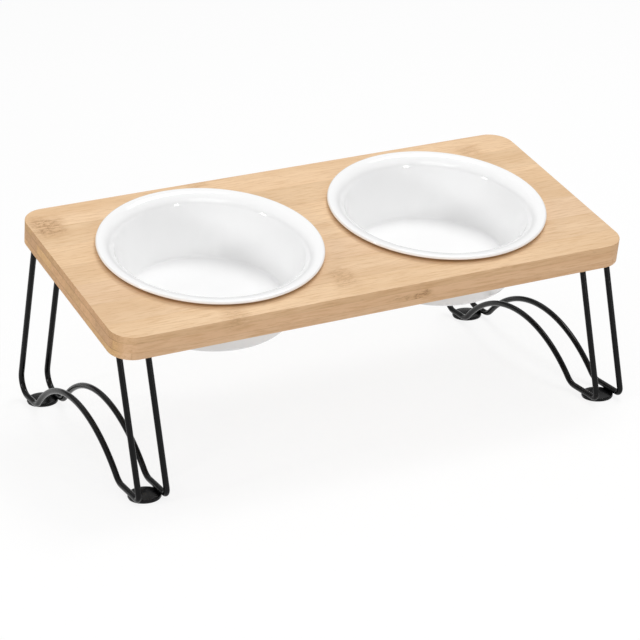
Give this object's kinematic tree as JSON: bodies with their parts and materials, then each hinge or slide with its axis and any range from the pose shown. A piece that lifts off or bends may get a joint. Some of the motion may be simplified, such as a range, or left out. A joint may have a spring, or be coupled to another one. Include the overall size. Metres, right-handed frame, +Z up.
{
  "type": "elevated pet bowl stand",
  "caption": "Sloping bamboo board on bent black wire legs, holding white glazed bowls that lift out, for feeding a cat or small dog.",
  "frame": {"origin": "on the ground, in the middle of the footprint of the legs, midway between the bowls", "axes": "+X along the board from the left bowl to the right bowl, +Y to the raised rear edge, +Z up"},
  "size_m": [0.348, 0.1956, 0.1386],
  "materials": {
    "bamboo": "satin lacquer",
    "white_glaze": "glossy glaze",
    "black_coated_steel": "satin powder coat",
    "anti_slip_pad": "matt",
    "screw_steel": "zinc plated"
  },
  "bodies": {
    "stand": {"board_top_layer": "bamboo", "board_core": "bamboo", "board_bottom_layer": "bamboo", "left_outer_wire": "black_coated_steel", "left_inner_wire": "black_coated_steel", "right_outer_wire": "black_coated_steel", "right_inner_wire": "black_coated_steel", "front_left_foot_disc": "black_coated_steel", "front_left_mounting_plate": "black_coated_steel", "front_left_foot_pad": "anti_slip_pad", "front_right_foot_disc": "black_coated_steel", "front_right_mounting_plate": "black_coated_steel", "front_right_foot_pad": "anti_slip_pad", "rear_left_foot_disc": "black_coated_steel", "rear_left_mounting_plate": "black_coated_steel", "rear_left_foot_pad": "anti_slip_pad", "rear_right_foot_disc": "black_coated_steel", "rear_right_mounting_plate": "black_coated_steel", "rear_right_foot_pad": "anti_slip_pad", "plate_screws": "screw_steel"},
    "left_bowl": {"left_bowl": "white_glaze"},
    "right_bowl": {"right_bowl": "white_glaze"}
  },
  "joints": [
    {"name": "left_bowl_lift", "type": "slide", "parent": "stand", "child": "left_bowl", "axis": [0, -0.2011, 0.9796], "range_m": [0, 0.06]},
    {"name": "right_bowl_lift", "type": "slide", "parent": "stand", "child": "right_bowl", "axis": [0, -0.2011, 0.9796], "range_m": [0, 0.06]}
  ]
}
